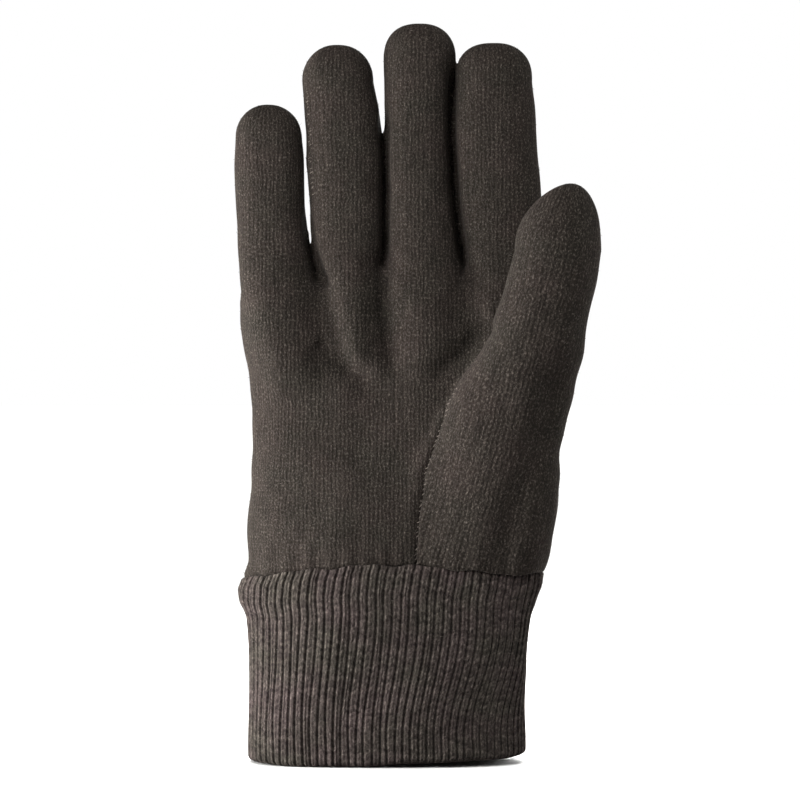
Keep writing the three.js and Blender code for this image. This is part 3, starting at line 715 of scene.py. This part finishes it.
around = rib_count * rib_steps
rib = np.arange(around) / rib_steps
rib_of = rib.astype(int)
rng = np.random.default_rng(11)
wiggle = [(rng.uniform(0, 6.3, rib_count), rng.uniform(5, 16, rib_count)) for _ in range(3)]
fullness = rng.uniform(0.75, 1.15, rib_count)
lean = 0.55 - 0.45 * np.cos(2 * np.pi * (rib / rib_count - 0.5))  # most at the thumb's side
angle = np.linspace(0, 2 * np.pi, 1441)
cosine, sine = np.cos(angle), np.sin(angle)
cuff_at = curve_through(cuff_sections)
points, knit = [], []
for inset, z, ribbed in rows:
    up = z / cuff_length
    over, left, right, deep = cuff_at(np.array(up))
    a = -(cuff_width / 2 * (1 - over) + top_left * palm_width * over) - left * cuff_wall
    b = cuff_width / 2 * (1 - over) + top_right * palm_width * over + right * cuff_wall
    front = cuff_depth / 2 * (1 - over) + top_front * palm_depth * over + deep * cuff_wall
    back = cuff_depth / 2 * (1 - over) + top_back * palm_depth * over + deep * cuff_wall
    n = cuff_squareness * (1 - over) + palm_squareness * over
    x = (a + b) / 2 + (b - a) / 2 * np.sign(cosine) * np.abs(cosine) ** (2 / n)
    y = np.where(sine < 0, front, back) * np.sign(sine) * np.abs(sine) ** (2 / n)
    length = np.concatenate([[0], np.cumsum(np.hypot(np.diff(x), np.diff(y)))])
    sway = sum(np.sin(z / wavelength[rib_of] + phase[rib_of]) for phase, wavelength in wiggle)
    share = (rib + rib_sway * sway) / rib_count + rib_drift * lean * smooth_step(up, 0.12, 0.72)
    at = (share % 1) * length[-1]
    px, py = np.interp(at, length, x), np.interp(at, length, y)
    after, before = (at + 0.6) % length[-1], (at - 0.6) % length[-1]  # which give the way outwards
    dx = np.interp(after, length, x) - np.interp(before, length, x)
    dy = np.interp(after, length, y) - np.interp(before, length, y)
    size = np.hypot(dx, dy)
    across = np.abs((rib + 0.5) % 1 - 0.5) * 2
    bulge = 1 - across**1.9 - 0.12 * np.exp(-((across / 0.22) ** 2))  # round, with a line down its middle
    bulge = rib_height * ribbed * fullness[rib_of] * bulge
    soft = 0.3 * np.sin(px / 11 + z / 16) + 0.2 * np.sin(px / 7 - z / 9 + 2)
    out = bulge - inset + rib_outset + soft * (inset <= half_wall)
    px, py = px + out * dy / size, py - out * dx / size
    pz = z + (wrist_rise(px) - wrist_dip(px) * smooth_step(up, 0.8, 1)) * up
    pz = pz + hem_rise(px) * (1 - smooth_step(z, 0, 30))
    points.append(np.stack([px, py, pz], axis=1))
    knit.append(np.stack([rib * rib_pitch, np.full(around, z - inset), np.full(around, 3.0)], axis=1))
points, knit = np.vstack(points), np.vstack(knit)
points[:, 2] = np.maximum(points[:, 2], 0.02)  # no part of the hem goes into the floor
index = np.arange(len(rows) * around).reshape(len(rows), around)
low, high = index, np.roll(index, -1, axis=0)
faces = np.stack([low, np.roll(low, -1, axis=1), np.roll(high, -1, axis=1), high], axis=-1).reshape(-1, 4)

# rib knit of the same heather yarn in paler shades, matt, with painted shade as dark lines where the ribs
# meet
rib_relief, rib_strength = 0.4, 0.9
rib_leg_slant, rib_bead_share, column_share = 1.6, 0.6, 3.0
rib_flecks_per_mm = (1.9, 0.8, 1)
rib_knit = bpy.data.materials.new("cotton_rib_knit")
rib_knit.use_nodes = True
t = rib_knit.node_tree
flat = add(t, "ShaderNodeAttribute", {}, attribute_name="knit")["Vector"]
stitch = add(t, "ShaderNodeVectorMath", {0: flat, 1: (rib_pitch, rib_course, 1)}, operation="DIVIDE")[0]
parts = add(t, "ShaderNodeSeparateXYZ", {0: stitch})
off = add(t, "ShaderNodeMath", {0: parts[0], 1: 0.5}, operation="PINGPONG")[0]
column = add(t, "ShaderNodeMath", {0: off, 1: 0.25}, operation="PINGPONG")[0]
leg = add(t, "ShaderNodeMath", {0: off, 1: rib_leg_slant, 2: parts[1]}, operation="MULTIPLY_ADD")[0]
bead = add(t, "ShaderNodeMath", {0: leg, 1: 0.5}, operation="PINGPONG")[0]
fuzz = add(t, "ShaderNodeTexNoise", {"Vector": flat, "Scale": fuzz_per_mm, "Detail": 4})["Fac"]
height = add(t, "ShaderNodeMath", {0: bead, 1: rib_bead_share, 2: fuzz}, operation="MULTIPLY_ADD")[0]
height = add(t, "ShaderNodeMath", {0: column, 1: column_share, 2: height}, operation="MULTIPLY_ADD")[0]
bump = add(t, "ShaderNodeBump",
           {"Height": height, "Distance": rib_relief * mm, "Strength": rib_strength})[0]
cell_of = add(t, "ShaderNodeCombineXYZ", {0: parts[0], 1: leg})[0]
cell_of = add(t, "ShaderNodeVectorMath", {0: cell_of}, operation="FLOOR")[0]
shade = add(t, "ShaderNodeTexWhiteNoise", {"Vector": cell_of})[0]
yarn, fibre = heather(t, flat, rib_flecks_per_mm, fleck_reach=(0.5, 0.72, 0.4), patches_per_mm=0.07,
                      shades=(0x48433D, 0x4F4543))
# the first two entries darken the grooves where the ribs meet and the line down the middle of each rib:
# painted shade; the stitches' own tints and the fibres are the yarn's own tones
tones_and_shade = [
    (off, 0.5, 0.28, 0.5, 1.0), (column, 0.0, 0.2, 0.72, 1.15),
    (shade, 0.0, 1.0, 0.62, 1.35), (fibre, 0.3, 0.7, 0.45, 1.4),
]
finish_cloth(t, yarn, tones_and_shade, bump)

knit_cuff = mesh_piece("knit_cuff_rib", points, faces, knit, rib_knit)
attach(knit_cuff, "root")
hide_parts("knit_cuff")
outside = faces[around * (hem_rows + 3) : around * (hem_rows + outside_rows - 1)]  # clear of the floor
cuff_nap = nap("knit_cuff_nap", points, outside, count=1400, seed=24)
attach(cuff_nap, "root")


# The studio: a plain pale floor and white surroundings, with a soft lamp low at the left, one high in
# front at the left, a weak one at the right and one behind. The floor would throw light up under the
# glove, so it doesn't light it, and a lamp overhead lights the floor alone, which keeps it white.
floor_half = 60  # metres, so that its edge is far away
floor = bpy.data.objects.new("floor", bpy.data.meshes.new("floor"))
corners = [(floor_half * x, floor_half * y, 0) for x, y in ((-1, -1), (1, -1), (1, 1), (-1, 1))]
floor.data.from_pydata(corners, [], [(0, 1, 2, 3)])
paint = bpy.data.materials.new("pale_floor")
paint.use_nodes = True
paint.node_tree.nodes["Principled BSDF"].inputs["Base Color"].default_value = colour(0xF8F8F6)
paint.node_tree.nodes["Principled BSDF"].inputs["Roughness"].default_value = 0.9
floor.data.materials.append(paint)
bpy.context.scene.collection.objects.link(floor)
floor.visible_diffuse = False

world_light, world_seen = 0.1, 1.0
world = bpy.data.worlds.new("studio")
world.use_nodes = True
t = world.node_tree
seen = add(t, "ShaderNodeLightPath", {})["Is Camera Ray"]
glow = add(t, "ShaderNodeMapRange", {0: seen, 1: 0.0, 2: 1.0, 3: world_light, 4: world_seen})[0]
t.links.new(glow, t.nodes["Background"].inputs["Strength"])
t.nodes["Background"].inputs["Color"].default_value = (1, 1, 1, 1)
bpy.context.scene.world = world
floor_only = bpy.data.collections.new("floor_only")
floor_only.objects.link(floor)
for name, kind, place, aim, size, power in [  # in metres and watts, but the sun in radians and W/m2
    ("side", "AREA", (-0.3, -0.07, 0.02), (0, -0.02, 0.1), 0.2, 3.3),
    ("rim", "AREA", (0.5, 0.05, 0.24), (0.03, 0, 0.15), 0.3, 0.95),
    ("front", "AREA", (-0.3, -0.56, 0.43), (0, 0, 0.12), 0.32, 3.4),
    ("back", "AREA", (0.1, 0.7, 0.35), (0, 0, 0.12), 0.4, 6.5),
    ("above", "SUN", (0, 0, 2), (0, 0, 0), 1.0, 3.8),
]:
    lamp = bpy.data.objects.new(name, bpy.data.lights.new(name, kind))
    lamp.data.energy = power
    if kind == "AREA":
        lamp.data.size = size
    else:
        lamp.data.angle = size
        lamp.light_linking.receiver_collection = floor_only
    lamp.location = place
    ahead = np.subtract(aim, place)
    level = np.hypot(ahead[0], ahead[1])
    lamp.rotation_euler = (np.arctan2(level, -ahead[2]), 0, np.arctan2(ahead[1], ahead[0]) - np.pi / 2)
    lamp.visible_camera = False
    bpy.context.scene.collection.objects.link(lamp)
bpy.context.scene.view_settings.view_transform = "Standard"
